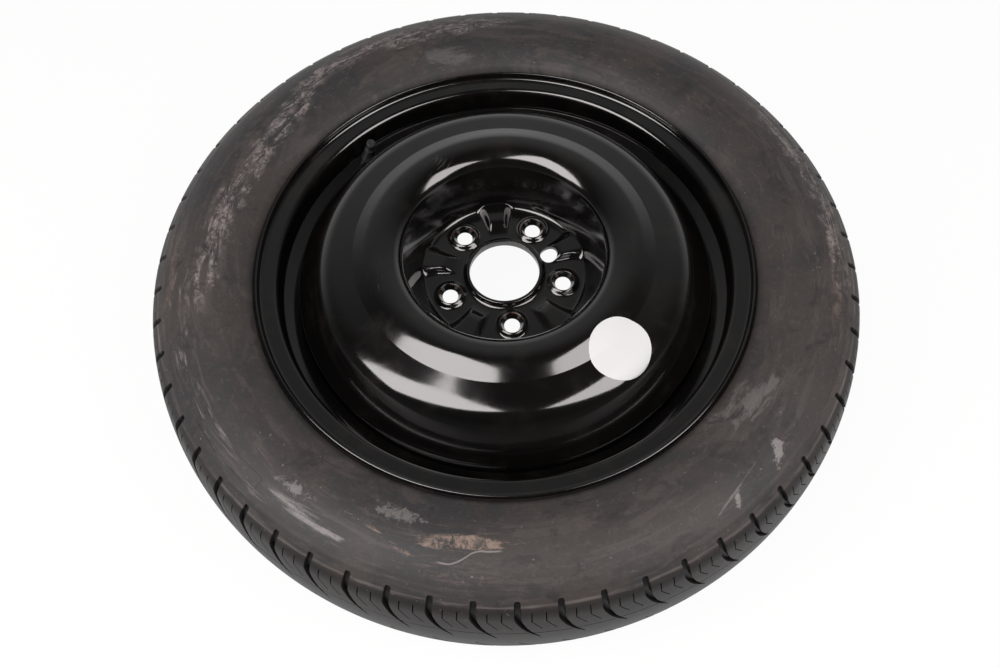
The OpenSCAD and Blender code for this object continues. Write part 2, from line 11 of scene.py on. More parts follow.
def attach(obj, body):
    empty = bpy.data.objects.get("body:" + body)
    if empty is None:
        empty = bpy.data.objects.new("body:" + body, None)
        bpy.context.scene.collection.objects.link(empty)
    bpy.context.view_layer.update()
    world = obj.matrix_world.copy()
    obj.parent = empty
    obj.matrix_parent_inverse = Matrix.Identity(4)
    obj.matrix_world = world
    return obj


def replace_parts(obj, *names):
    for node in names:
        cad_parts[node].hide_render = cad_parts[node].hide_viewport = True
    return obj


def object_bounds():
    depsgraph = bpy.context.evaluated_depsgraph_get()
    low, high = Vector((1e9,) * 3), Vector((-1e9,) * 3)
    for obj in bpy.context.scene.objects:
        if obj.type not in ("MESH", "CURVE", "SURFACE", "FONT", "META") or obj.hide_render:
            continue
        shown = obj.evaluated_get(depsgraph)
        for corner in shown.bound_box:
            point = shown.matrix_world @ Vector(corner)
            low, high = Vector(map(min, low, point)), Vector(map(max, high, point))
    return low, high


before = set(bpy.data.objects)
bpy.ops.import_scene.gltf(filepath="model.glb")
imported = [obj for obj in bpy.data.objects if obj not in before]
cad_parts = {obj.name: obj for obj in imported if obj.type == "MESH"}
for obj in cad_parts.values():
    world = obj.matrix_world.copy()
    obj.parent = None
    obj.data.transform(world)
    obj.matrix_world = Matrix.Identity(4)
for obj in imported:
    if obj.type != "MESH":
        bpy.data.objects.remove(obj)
cad_low, cad_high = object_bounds()

MM = 0.001
VALVE_ANGLE = math.radians(132)
BOLT_STEP = math.radians(72)
LABEL_ANGLE = math.radians(-47.5)

# Sizes repeated from the part's source, in millimetres
BEAD_R = 218.3
FLANGE_FACE = 50.8
FLANGE_EDGE = 61.2
FLANGE_R = 235.8
OFFSET = 33.0
RIM_SHEET = 2.6
DISC_SHEET = 3.6
HUB_TOP = 3.6
HUB_R = 77.5
BORE_R = 33.55
COLLAR_R = 36.95
COLLAR_TOP = 8.6
BOLT_R = 57.15
PAD_TOP = 8.6
PAD_INNER_R = 58.0
TYRE_R = 340.0
HALF_TREAD = 39.6
SHOULDER_ROUND = 21.8
HALF_WIDTH = 75.0
VALVE_R = 208.2
VALVE_Z = -6.07
WIDEST_R = 278.0
PITCHES = 58
GROOVE_ANGLE = math.radians(-89.36)
BOSS_TOP = HUB_TOP + 3.4
SEAT_MOUTH_R = 10.7
SEAT_HOLE_R = 7.5
LOCATING_R = 8.3
LOCATING_PLACE = 47.6
FLAT_INNER_R = 42.5
SKIRT_R = 198.3
PAD_HALF = 6.5
PAD_SPREAD = 4.5
PAD_LENGTH = 21.5
WELL_DEPTH = 17.3
SEAT_LENGTH = 24
SEAT_SLOPE = math.radians(5)
VALVE_HOLE_R = 5.75
CROWN_DROP = 5.0
PITCH_LENGTH = 36.8
LABEL_MIDDLE = 147.5
LABEL_DIAMETER = 58.5

# The photograph's frame and its camera, fitted to the rings of wheel and tyre
IMAGE_SIZE = (1000, 667)
FOCAL_PIXELS = 1018.0
CAMERA_DISTANCE = 967.0
CAMERA_ELEVATION = math.radians(57.15)
CAMERA_ROLL = math.radians(1.42)
AIM_PIXEL = (504.2, 261.1)
AIM_HEIGHT = 25.2

# Brightness of the room, where 1 is white
FAR_WALL = 0.62
SIDE_WALLS = 0.06
FLOOR_SEEN = 0.94
FLOOR_HALF = 30.0
LAMP_HEIGHT = 1.6
LAMP_COLOUR = (1.0, 0.95, 0.945)

scene = bpy.context.scene


# Helpers for lines and meshes
def unit(v):
    return v / np.linalg.norm(v)


def bent_line(corners, steps=8):
    """A line through corners (radius, height, bend radius), with its bends rounded."""
    p = [np.array(c[:2], float) for c in corners]
    out = [p[0]]
    for i in range(1, len(p) - 1):
        r = corners[i][2]
        u, v = unit(p[i] - p[i - 1]), unit(p[i + 1] - p[i])
        turn = math.atan2(u[0] * v[1] - u[1] * v[0], float(u @ v))
        if r == 0 or abs(turn) < 1e-6:
            out.append(p[i])
            continue
        start = p[i] - u * r * math.tan(abs(turn) / 2)
        centre = start + np.array([-u[1], u[0]]) * r * math.copysign(1, turn)
        arm = start - centre
        for k in range(steps + 1):
            w = turn * k / steps
            c, s = math.cos(w), math.sin(w)
            out.append(centre + np.array([arm[0] * c - arm[1] * s, arm[0] * s + arm[1] * c]))
    out.append(p[-1])
    return np.array(out)


def turned_left(rows):
    return np.stack([-rows[:, 1], rows[:, 0]], 1)


def beside(path, distance):
    """The path moved to its left by the distance."""
    path = np.asarray(path, float)
    d = np.diff(path, axis=0)
    d /= np.linalg.norm(d, axis=1)[:, None]
    before, after = np.vstack([d[:1], d]), np.vstack([d, d[-1:]])
    n = turned_left(before) + turned_left(after)
    n /= np.linalg.norm(n, axis=1)[:, None]
    return path + n * (distance / np.einsum("ij,ij->i", n, turned_left(before)))[:, None]


def ring_faces(rows, cols, closed_rows):
    """Quads of a grid whose columns go round, and whose rows may close on themselves."""
    i = np.arange(rows if closed_rows else rows - 1)
    j = np.arange(cols)
    ii, jj = np.meshgrid(i, j, indexing="ij")
    i2, j2 = (ii + 1) % rows, (jj + 1) % cols
    corners = [ii * cols + jj, i2 * cols + jj, i2 * cols + j2, ii * cols + j2]
    return np.stack(corners, -1).reshape(-1, 4)


def mesh_object(name, verts, faces, material, smooth_angle=30):
    """A mesh object in metres with shading smooth up to an angle."""
    mesh = bpy.data.meshes.new(name)
    mesh.from_pydata(np.asarray(verts).tolist(), [], [list(map(int, f)) for f in faces])
    obj = bpy.data.objects.new(name, mesh)
    scene.collection.objects.link(obj)
    if material is not None:
        mesh.materials.append(material)
    smooth(mesh, smooth_angle)
    return obj


def smooth(mesh, angle):
    """Turns the faces outward and shades them smooth, but for edges sharper than the angle."""
    bm = bmesh.new()
    bm.from_mesh(mesh)
    bmesh.ops.recalc_face_normals(bm, faces=bm.faces)
    limit = math.radians(angle)
    for f in bm.faces:
        f.smooth = True
    for e in bm.edges:
        e.smooth = len(e.link_faces) == 2 and e.calc_face_angle(0) < limit
    bm.to_mesh(mesh)
    bm.free()


def lathe(name, profile, cols, material, closed=True, smooth_angle=30):
    """A ring turned from a profile of (radius, height) in millimetres."""
    profile = np.asarray(profile, float)
    a = np.arange(cols) * 2 * math.pi / cols
    x = profile[:, 0, None] * np.cos(a)
    y = profile[:, 0, None] * np.sin(a)
    z = np.repeat(profile[:, 1, None], cols, 1)
    verts = np.stack([x, y, z], -1).reshape(-1, 3) * MM
    return mesh_object(name, verts, ring_faces(len(profile), cols, closed), material, smooth_angle)


def cut(obj, cutters, smooth_angle=30):
    """Cuts the cutters out of the object, and deletes them."""
    for c in cutters:
        m = obj.modifiers.new("cut", "BOOLEAN")
        m.operation = "DIFFERENCE"
        m.solver = "EXACT"
        m.object = c
    bpy.context.view_layer.update()
    done = bpy.data.meshes.new_from_object(obj.evaluated_get(bpy.context.evaluated_depsgraph_get()))
    obj.modifiers.clear()
    obj.data = done
    for c in cutters:
        bpy.data.objects.remove(c)
    smooth(done, smooth_angle)


# Materials
class Nodes:
    """Short calls to build a node tree."""

    def __init__(self, name):
        self.mat = bpy.data.materials.new(name)
        self.mat.use_nodes = True
        self.tree = self.mat.node_tree
        self.tree.nodes.clear()
        self.out = self.add("ShaderNodeOutputMaterial")
        self.shader = self.add("ShaderNodeBsdfPrincipled")
        self.link(self.shader.outputs[0], self.out.inputs["Surface"])
        self.coords = self.add("ShaderNodeTexCoord").outputs["Object"]

    def add(self, kind, **values):
        n = self.tree.nodes.new(kind)
        for k, v in values.items():
            setattr(n, k, v)
        return n

    def link(self, a, b):
        self.tree.links.new(a, b)

    def put(self, socket, value):
        if hasattr(value, "links"):
            self.link(value, socket)
        else:
            socket.default_value = value

    def math(self, op, a, b=0.0, c=0.0):
        n = self.add("ShaderNodeMath", operation=op)
        for s, v in zip(n.inputs, (a, b, c)):
            self.put(s, v)
        return n.outputs[0]

    def noise(self, scale, detail=4.0, rough=0.5, warp=0.0, where=None):
        n = self.add("ShaderNodeTexNoise", noise_dimensions="3D")
        self.put(n.inputs["Vector"], self.coords if where is None else where)
        n.inputs["Scale"].default_value = scale
        n.inputs["Detail"].default_value = detail
        n.inputs["Roughness"].default_value = rough
        n.inputs["Distortion"].default_value = warp
        return n.outputs["Fac"]

    def ramp(self, value, low, high, a=0.0, b=1.0):
        n = self.add("ShaderNodeMapRange", interpolation_type="SMOOTHSTEP")
        self.put(n.inputs["Value"], value)
        for s, v in (("From Min", low), ("From Max", high), ("To Min", a), ("To Max", b)):
            self.put(n.inputs[s], v)
        return n.outputs["Result"]

    def mix(self, fac, a, b):
        n = self.add("ShaderNodeMix", data_type="RGBA")
        self.put(n.inputs[0], fac)
        for s, v in ((n.inputs[6], a), (n.inputs[7], b)):
            self.put(s, v if hasattr(v, "links") else (*v, 1.0))
        return n.outputs[2]

    def local(self, centre, turn, size):
        """Object coordinates from a centre, turned about the axis and in units of a size."""
        m = self.add("ShaderNodeMapping", vector_type="TEXTURE")
        self.put(m.inputs["Vector"], self.coords)
        m.inputs["Location"].default_value = centre
        m.inputs["Rotation"].default_value = (0, 0, turn)
        m.inputs["Scale"].default_value = size
        return m.outputs["Vector"]

    def joined(self, x, y, z=0.0):
        n = self.add("ShaderNodeCombineXYZ")
        for s, v in zip(n.inputs, (x, y, z)):
            self.put(s, v)
        return n.outputs[0]

    def all_of(self, *values):
        out = values[0]
        for v in values[1:]:
            out = self.math("MULTIPLY", out, v)
        return out

    def most(self, *values):
        out = values[0]
        for v in values[1:]:
            out = self.math("MAXIMUM", out, v)
        return out

    def polar(self):
        """Radius from the wheel's axis, and the cosine and sine of the place round it."""
        x, y, _ = self.parts(self.coords)
        squares = self.math("ADD", self.math("MULTIPLY", x, x), self.math("MULTIPLY", y, y))
        r = self.math("SQRT", squares)
        return r, self.math("DIVIDE", x, r), self.math("DIVIDE", y, r)

    def parts(self, vector):
        n = self.add("ShaderNodeSeparateXYZ")
        self.put(n.inputs[0], vector)
        return n.outputs

    def bump(self, height, strength, distance=MM, normal=None):
        n = self.add("ShaderNodeBump")
        self.put(n.inputs["Height"], height)
        n.inputs["Strength"].default_value = strength
        n.inputs["Distance"].default_value = distance
        if normal is not None:
            self.put(n.inputs["Normal"], normal)
        return n.outputs["Normal"]

    def set(self, **values):
        for k, v in values.items():
            s = self.shader.inputs[k.replace("_", " ")]
            self.put(s, (*v, 1.0) if isinstance(v, tuple) and len(v) == 3 else v)


def around(r, degrees):
    """A point in metres at a radius in millimetres and an angle in degrees."""
    w = math.radians(degrees)
    return (r * MM * math.cos(w), r * MM * math.sin(w), 0.0)


def patch(n, centre, turn, length, width, grain, rough=0.9, edge=0.3):
    """A ragged patch, between 0 and 1. The sizes are its half length and half width in millimetres."""
    at = n.local(centre, turn, (length * MM, width * MM, 1))
    x, y, _ = n.parts(at)
    far = n.math("SQRT", n.math("ADD", n.math("MULTIPLY", x, x), n.math("MULTIPLY", y, y)))
    ragged = n.ramp(grain, 0.34, 0.66, -rough / 2, rough / 2)
    value = n.math("ADD", n.math("SUBTRACT", 1.0, far), ragged)
    return n.ramp(value, 0.0, edge)


def window(n, ring, degrees, half, soft):
    """1 near an angle round the wheel and 0 away from it."""
    _, c, s = ring
    w = math.radians(degrees)
    along = n.math("MULTIPLY_ADD", c, math.cos(w), n.math("MULTIPLY", s, math.sin(w)))
    return n.ramp(along, math.cos(math.radians(half + soft)), math.cos(math.radians(half)))


def scratches(n, degrees, r, length, width, turn, amount, seed, share=0.62):
    """A soft patch of fine scratches that lie along its length."""
    centre = around(r, degrees)
    w = math.radians(degrees + turn)
    at = n.local(centre, w, (length * MM, width * MM, 1))
    x, y, _ = n.parts(at)
    far = n.math("ADD", n.math("MULTIPLY", x, x), n.math("MULTIPLY", y, y))
    lines = n.noise(1.0, 3, 0.6, 0.3, n.local((seed, 0, 0), w, (0.013, 0.0006, 0.03)))
    return n.all_of(n.ramp(far, 0.2, 1.0, 1.0, 0.0), n.ramp(lines, share, share + 0.07), amount)


def black_paint():
    n = Nodes("black_paint")
    dust = n.ramp(n.noise(28, 6, 0.62), 0.48, 0.78)
    film = n.ramp(n.noise(7, 3, 0.5), 0.35, 0.7)
    specks = n.ramp(n.noise(900, 2, 0.5), 0.72, 0.78)
    # Faint rust on the upper edge of the nut seats
    seats = []
    for i in range(5):
        w = VALVE_ANGLE + i * BOLT_STEP
        measure = n.add("ShaderNodeVectorMath", operation="DISTANCE")
        n.put(measure.inputs[0], n.coords)
        measure.inputs[1].default_value = (BOLT_R * MM * math.cos(w), BOLT_R * MM * math.sin(w), 0.0066)
        away = measure.outputs["Value"]
        seats.append(n.all_of(n.ramp(away, 0.0098, 0.0104), n.ramp(away, 0.0108, 0.0116, 1.0, 0.0)))
    rust = n.all_of(n.most(*seats), n.ramp(n.noise(240, 4, 0.6), 0.46, 0.66), 0.55)
    scuffs = n.most(
        scratches(n, 150, 130, 30, 18, 60, 0.4, 0.3, 0.62),
        scratches(n, 168, 130, 34, 13, 84, 0.4, 1.7, 0.63),
        scratches(n, 124, 108, 20, 15, 110, 0.45, 0.9, 0.58),
        scratches(n, 196, 121, 26, 12, 70, 0.4, 2.3, 0.64),
        scratches(n, 255, 132, 46, 9, 100, 0.4, 3.1, 0.65),
        scratches(n, 283, 104, 30, 7, 60, 0.45, 4.3, 0.64),
    )
    colour = n.mix(n.math("MULTIPLY", film, 0.6), (0.0022, 0.0020, 0.0019), (0.0052, 0.0044, 0.0040))
    colour = n.mix(n.math("MULTIPLY", dust, 0.5), colour, (0.014, 0.0115, 0.0100))
    colour = n.mix(rust, colour, (0.10, 0.030, 0.016))
    colour = n.mix(scuffs, colour, (0.11, 0.105, 0.10))
    n.set(Base_Color=colour)
    rough = n.math("MULTIPLY_ADD", dust, 0.08, 0.105)
    rough = n.math("MULTIPLY_ADD", specks, 0.12, rough)
    n.set(Roughness=n.math("MULTIPLY_ADD", scuffs, 0.25, rough))
    n.set(Specular_IOR_Level=1.0)
    fine = n.noise(420, 3, 0.5)
    n.set(Normal=n.bump(fine, 0.035, 0.2 * MM, n.bump(n.noise(60, 2, 0.5), 0.05, 0.6 * MM)))
    return n.mat


def tyre_rubber():
    n = Nodes("tyre_rubber")
    ring = n.polar()
    r, c, s = ring
    z = n.parts(n.coords)[2]
    level = n.math("SUBTRACT", r, z)

    def streaky(along, across, detail, rough, warp=0.0, shift=0.0):
        """Noise drawn out round the wheel; the lengths are in millimetres."""
        k = 0.3 / (along * MM)
        x = n.math("MULTIPLY_ADD", c, k, shift)
        y = n.math("MULTIPLY", s, k)
        where = n.joined(x, y, n.math("MULTIPLY", level, 1 / (across * MM)))
        return n.noise(1.0, detail, rough, warp, where)

    broad = n.noise(9, 5, 0.6, 0.5)
    blotch = n.noise(22, 7, 0.68, 1.2)
    smear = streaky(95, 16, 7, 0.66, 0.9)
    rub = streaky(42, 7, 8, 0.72, 0.7, 3.1)
    grain = n.noise(150, 8, 0.75, 0.4)
    fine = n.noise(420, 4, 0.65)
    hair = streaky(70, 1.5, 4, 0.6, 1.1, 7.7)

    def over(below, amount, strength, top):
        """A colour laid over what is below, where an amount is high."""
        return n.mix(n.math("MULTIPLY", amount, strength), below, top)

    speck = streaky(26, 5, 6, 0.7, 1.4, 5.3)
    colour = n.mix(n.ramp(broad, 0.41, 0.60), (0.034, 0.033, 0.034), (0.050, 0.043, 0.040))
    colour = over(colour, n.ramp(smear, 0.51, 0.62), 0.7, (0.069, 0.060, 0.056))
    colour = over(colour, n.ramp(blotch, 0.53, 0.66), 0.55, (0.021, 0.0195, 0.0195))
    colour = over(colour, n.ramp(speck, 0.55, 0.68), 0.5, (0.082, 0.073, 0.069))
    colour = over(colour, n.ramp(grain, 0.52, 0.68), 0.4, (0.085, 0.078, 0.075))
    colour = over(colour, n.ramp(fine, 0.55, 0.68), 0.35, (0.022, 0.021, 0.021))

    # The tread is darker than the wall, with a worn line at its edge
    colour = over(colour, n.ramp(r, 0.3235, 0.3315), 0.85, (0.0105, 0.0088, 0.0084))
    edge_off = n.math("ABSOLUTE", n.math("SUBTRACT", r, 0.3262))
    edge = n.all_of(n.ramp(edge_off, 0.0003, 0.0016, 1.0, 0.0), n.ramp(rub, 0.40, 0.60))
    colour = over(colour, edge, 0.5, (0.17, 0.15, 0.14))

    # Where the tyre has rubbed: along the shoulder, and smears on the near side
    dip = window(n, ring, 161, 2, 34)
    wave = n.math("MULTIPLY_ADD", n.math("SUBTRACT", blotch, 0.5), 0.05, r)
    left_at = n.math("MULTIPLY_ADD", dip, -0.026, 0.297)
    left_off = n.math("ABSOLUTE", n.math("SUBTRACT", wave, left_at))
    crumbs = n.ramp(n.noise(130, 8, 0.8, 0.6), 0.40, 0.58)
    left = n.all_of(
        n.ramp(left_off, 0.004, 0.016, 1.0, 0.0),
        window(n, ring, 139, 44, 12),
        n.ramp(rub, 0.42, 0.56),
        crumbs,
    )
    low_off = n.math("ABSOLUTE", n.math("SUBTRACT", wave, 0.303))
    low = n.all_of(
        n.ramp(low_off, 0.002, 0.012, 1.0, 0.0),
        window(n, ring, 200, 15, 8),
        n.ramp(rub, 0.52, 0.66),
        0.7,
    )
    right_off = n.math("ABSOLUTE", n.math("SUBTRACT", wave, 0.3115))
    right = n.all_of(
        n.ramp(right_off, 0.002, 0.011, 1.0, 0.0),
        window(n, ring, 13, 17, 7),
        n.ramp(rub, 0.40, 0.54),
        crumbs,
    )
    scuff = n.most(left, low, right)
    colour = over(colour, scuff, 0.9, (0.25, 0.222, 0.213))

    def smudge(place, degrees, turn, length, width, pattern, rough, edge, amount):
        """A patch at a radius and an angle, turned from the wheel's round, as strong as the amount."""
        along = math.radians(degrees + 90 + turn)
        shape = patch(n, around(place, degrees), along, length, width, pattern, rough, edge)
        return n.math("MULTIPLY", shape, amount)

    chalk = n.most(
        smudge(304.5, 236, 3, 42, 7.5, smear, 1.3, 0.7, 0.62),
        smudge(289, 232, 8, 16, 5, grain, 1.2, 0.6, 0.45),
        smudge(304, 318, 40, 11, 5, grain, 1.2, 0.5, 0.6),
        smudge(308, 307.5, 50, 8, 2.6, grain, 1.0, 0.5, 0.6),
        smudge(301, 309, 12, 46, 1.3, smear, 1.2, 0.8, 0.35),
        smudge(268, 250, 5, 22, 6, grain, 1.6, 0.5, 0.28),
        smudge(256, 103, 0, 26, 9, rub, 1.5, 0.9, 0.18),
        smudge(262, 322, -20, 30, 16, rub, 1.8, 0.9, 0.22),
    )
    chalk = n.all_of(chalk, n.ramp(fine, 0.28, 0.6, 0.55, 1.0))
    colour = n.mix(chalk, colour, (0.34, 0.325, 0.315))
    clay = n.most(
        smudge(280.5, 262.5, 5, 34, 6.5, smear, 1.5, 0.6, 0.75),
        smudge(287, 247.5, -12, 36, 2.6, smear, 1.6, 0.6, 0.6),
        smudge(305, 263, 0, 30, 9, rub, 1.8, 0.9, 0.16),
        smudge(312, 180, 0, 70, 6, rub, 1.8, 0.9, 0.2),
        smudge(308, 352, 0, 80, 7, rub, 1.8, 0.9, 0.22),
    )
    colour = n.mix(n.all_of(clay, crumbs), colour, (0.29, 0.215, 0.175))

    # A thin curled thread of dirt, fine hairs and dots
    curl = math.radians(263.5)
    past = n.math("MULTIPLY_ADD", c, -math.sin(curl), n.math("MULTIPLY", s, math.cos(curl)))
    curled = n.math("MULTIPLY_ADD", n.math("SUBTRACT", broad, 0.5), 0.012, r)
    off = n.math("SUBTRACT", curled, n.ramp(past, -0.06, 0.03, 0.2975, 0.2868))
    line = n.ramp(n.math("ABSOLUTE", off), 0.0003, 0.0011, 1.0, 0.0)
    thread = n.all_of(line, window(n, ring, 263.5, 4.2, 1.2), 0.55)
    hairs = n.all_of(n.ramp(hair, 0.70, 0.74), n.ramp(blotch, 0.45, 0.6), 0.35)
    dots = n.math("MULTIPLY", n.ramp(n.noise(330, 1, 0.4), 0.76, 0.80), 0.35)
    colour = n.mix(n.most(thread, hairs, dots), colour, (0.30, 0.28, 0.26))

    # The grooves are darkened by their depth: the dirt they hold, and painted shade
    depth = n.add("ShaderNodeAttribute", attribute_name="groove").outputs["Fac"]
    colour = over(colour, n.ramp(depth, 0.1, 0.9), 0.9, (0.006, 0.0058, 0.0056))
    n.set(Base_Color=colour)
    n.set(Roughness=n.math("MULTIPLY_ADD", n.most(scuff, chalk, clay), 0.2, 0.5))
    n.set(Specular_IOR_Level=0.28)
    skin = n.bump(fine, 0.10, 0.3 * MM, n.bump(blotch, 0.06, 2.5 * MM))
    n.set(Normal=n.bump(n.math("MULTIPLY", scuff, grain), 0.5, 0.8 * MM, skin))
    return n.mat


def plain(name, colour, roughness, metallic=0.0, level=0.5):
    n = Nodes(name)
    n.set(Base_Color=colour, Roughness=roughness, Metallic=metallic, Specular_IOR_Level=level)
    return n.mat


PAINT = black_paint()
RUBBER = tyre_rubber()
VALVE_RUBBER = plain("valve_rubber", (0.016, 0.016, 0.016), 0.5)
CAP = plain("cap_plastic", (0.022, 0.021, 0.021), 0.4)
BRASS = plain("brass", (0.55, 0.40, 0.17), 0.3, 1.0)
STEEL = plain("spring_steel", (0.5, 0.5, 0.5), 0.3, 1.0)
SEAL = plain("seal_plastic", (0.7, 0.68, 0.62), 0.5)
LABEL = plain("label_film", (0.70, 0.71, 0.715), 0.4, 0.0, 0.3)

NODE_MATERIALS = {
    "tyre": RUBBER,
    "rim": PAINT,
    "disc": PAINT,
    "disc_welds": PAINT,
    "valve_body": VALVE_RUBBER,
    "valve_stem": BRASS,
    "core_housing": BRASS,
    "core_seal": SEAL,
    "core_spring": STEEL,
    "core_pin": STEEL,
    "core_washer": VALVE_RUBBER,
    "valve_cap": CAP,
    "cap_seal": VALVE_RUBBER,
    "label": LABEL,
}
for node_name, node_material in NODE_MATERIALS.items():
    node_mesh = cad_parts[node_name].data
    node_mesh.materials.clear()
    node_mesh.materials.append(node_material)


# Disc
def soft_max(a, b, k):
    """The larger of two heights, blended over about k where they meet."""
    h = np.clip(0.5 + 0.5 * (a - b) / k, 0, 1)
    return b * (1 - h) + a * h + k * h * (1 - h)


def soft_min(a, b, k):
    return -soft_max(-a, -b, k)


DISH = bent_line(
    [
        (FLAT_INNER_R, HUB_TOP, 0),
        (HUB_R, HUB_TOP, 5),
        (97.2, 51.9, 20),
        (117.0, 61.1, 28),
        (140.3, 50.2, 1.6),
        (169.0, 44.2, 34),
        (SKIRT_R, 5.2, 8),
        (SKIRT_R, -30.8, 0),
    ],
    9,
)


def from_bolt(r, angle, i):
    """Distance of places on the disc from the axis of one bolt hole."""
    w = VALVE_ANGLE + i * BOLT_STEP
    x, y = BOLT_R * math.cos(w), BOLT_R * math.sin(w)
    return np.hypot(r * np.cos(angle) - x, r * np.sin(angle) - y)


def hub_relief(r, angle, base):
    """Height of the hub's outer face with its pads and bosses, over the plain dish's height."""
    z = base.copy()
    for i in range(5):
        turn = angle - (VALVE_ANGLE + (i + 0.5) * BOLT_STEP)
        x, y = r * np.cos(turn), np.abs(r * np.sin(turn))
        half = PAD_HALF + (x - PAD_INNER_R) * PAD_SPREAD / PAD_LENGTH
        slope = np.interp(x, [64, 72, 79], [1.1, 0.75, 0.42])
        side = PAD_TOP - (y - half) * slope
        end = PAD_TOP - (PAD_INNER_R - x) * math.tan(math.radians(25))
        pad = soft_min(soft_min(side, end, 1.4), np.full_like(side, PAD_TOP), 1.5)
        pad = np.where(x < 20, -50, pad)
        z = soft_max(z, pad, 1.9)
    for i in range(5):
        d = from_bolt(r, angle, i)
        boss = soft_min(np.full_like(d, BOSS_TOP), HUB_TOP + (15.2 - d) * 1.05, 1.4)
        z = soft_max(z, boss, 1.6)
    return z


def shifted(obj, r, angle):
    """Moves a cutter's mesh out to a radius and an angle."""
    obj.data.transform(Matrix.Translation((r * MM * math.cos(angle), r * MM * math.sin(angle), 0)))
    return obj


def make_disc():
    """The pressed disc, with its pads, bosses, nut seats and locating hole."""
    cols = 336
    angle = np.arange(cols) * 2 * math.pi / cols
    collar = bent_line(
        [
            (BORE_R + 2, 0, 0),
            (BORE_R, 0, 2),
            (BORE_R, COLLAR_TOP, 0.6),
            (COLLAR_R, COLLAR_TOP, 1.2),
            (COLLAR_R, HUB_TOP, 4.5),
            (FLAT_INNER_R, HUB_TOP, 0),
        ],
        6,
    )
    over = []
    for a, b in zip(DISH[:-1], DISH[1:]):
        length = np.linalg.norm(b - a)
        step = 1.0 if a[0] < 84 else 3.0
        n = max(1, int(math.ceil(length / step)))
        over += [a + (b - a) * k / n for k in range(n)]
    over = np.array(over + [DISH[-1]])
    under = beside(over, -DISC_SHEET)[::2][::-1]
    profile = np.vstack([collar[:-1], over, under])
    r = np.repeat(profile[:, 0, None], cols, 1)
    z = np.repeat(profile[:, 1, None], cols, 1)
    a = np.repeat(angle[None], len(profile), 0)
    first = len(collar) - 1
    near = over[:, 0] < 88
    rows = np.arange(first, first + len(over))[near]
    z[rows] = hub_relief(r[rows], a[rows], z[rows])
    below = np.arange(first + len(over), len(profile))
    rows = below[under[:, 0] < 88]
    pads = hub_relief(r[rows], a[rows], np.full_like(r[rows], HUB_TOP)) - HUB_TOP
    boss = np.zeros_like(pads)
    for i in range(5):
        boss = np.maximum(boss, np.clip((19 - from_bolt(r[rows], a[rows], i)) / 3, 0, 1))
    z[rows] = np.maximum(z[rows], pads * (1 - boss))
    verts = np.stack([r * np.cos(a), r * np.sin(a), z], -1).reshape(-1, 3) * MM
    disc = mesh_object("wheel_disc", verts, ring_faces(len(profile), cols, True), PAINT)
    seat_end = BOSS_TOP - (SEAT_MOUTH_R - SEAT_HOLE_R) / math.tan(math.radians(30))
    seat = bent_line(
        [
            (0.01, -1, 0),
            (14.0, -1, 0),
            (12.9, 0, 0),
            (SEAT_MOUTH_R, 1.1, 0),
            (SEAT_HOLE_R, 1.1, 0.3),
            (SEAT_HOLE_R, seat_end, 0.5),
            (SEAT_MOUTH_R, BOSS_TOP - 0.1, 0.8),
            (SEAT_MOUTH_R + 2.5, BOSS_TOP + 0.5, 0),
            (SEAT_MOUTH_R + 2.5, BOSS_TOP + 6, 0),
            (0.01, BOSS_TOP + 6, 0),
        ],
        5,
    )
    cutters = []
    for i in range(5):
        bolt = lathe(f"cutter{i}", seat, 64, None)
        cutters.append(shifted(bolt, BOLT_R, VALVE_ANGLE + i * BOLT_STEP))
    hole = lathe("cutter5", [(0.01, -20), (LOCATING_R, -20), (LOCATING_R, 20), (0.01, 20)], 64, None)
    cutters.append(shifted(hole, LOCATING_PLACE, VALVE_ANGLE + 3.5 * BOLT_STEP))
    cut(disc, cutters)
    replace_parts(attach(disc, "wheel"), "disc")


def make_label():
    """The bare round label, laid on the dome."""
    size, tilt = LABEL_DIAMETER / 2, math.radians(24)
    over = DISH[(DISH[:, 0] > 100) & (DISH[:, 1] > 12)]
    lifted = [beside(over, lift) for lift in (0.04, 0.24)]
    grid = []
    spokes = np.arange(96) * 2 * math.pi / 96
    for rho, layer in [(size, 0)] + [(size * k, 1) for k in np.linspace(1, 0.04, 14)]:
        along = LABEL_MIDDLE + rho * np.cos(spokes) * math.cos(tilt)
        across = rho * np.sin(spokes)
        r = np.hypot(along, across)
        w = np.arctan2(across, along) + LABEL_ANGLE
        z = np.interp(r, lifted[layer][:, 0], lifted[layer][:, 1])
        grid.append(np.stack([r * np.cos(w), r * np.sin(w), z], -1))
    verts = np.array(grid).reshape(-1, 3) * MM
    faces = ring_faces(len(grid), 96, False).tolist() + [list(range(len(verts) - 96, len(verts)))]
    label = mesh_object("wheel_label", verts, faces, LABEL, 50)
    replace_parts(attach(label, "wheel"), "label")


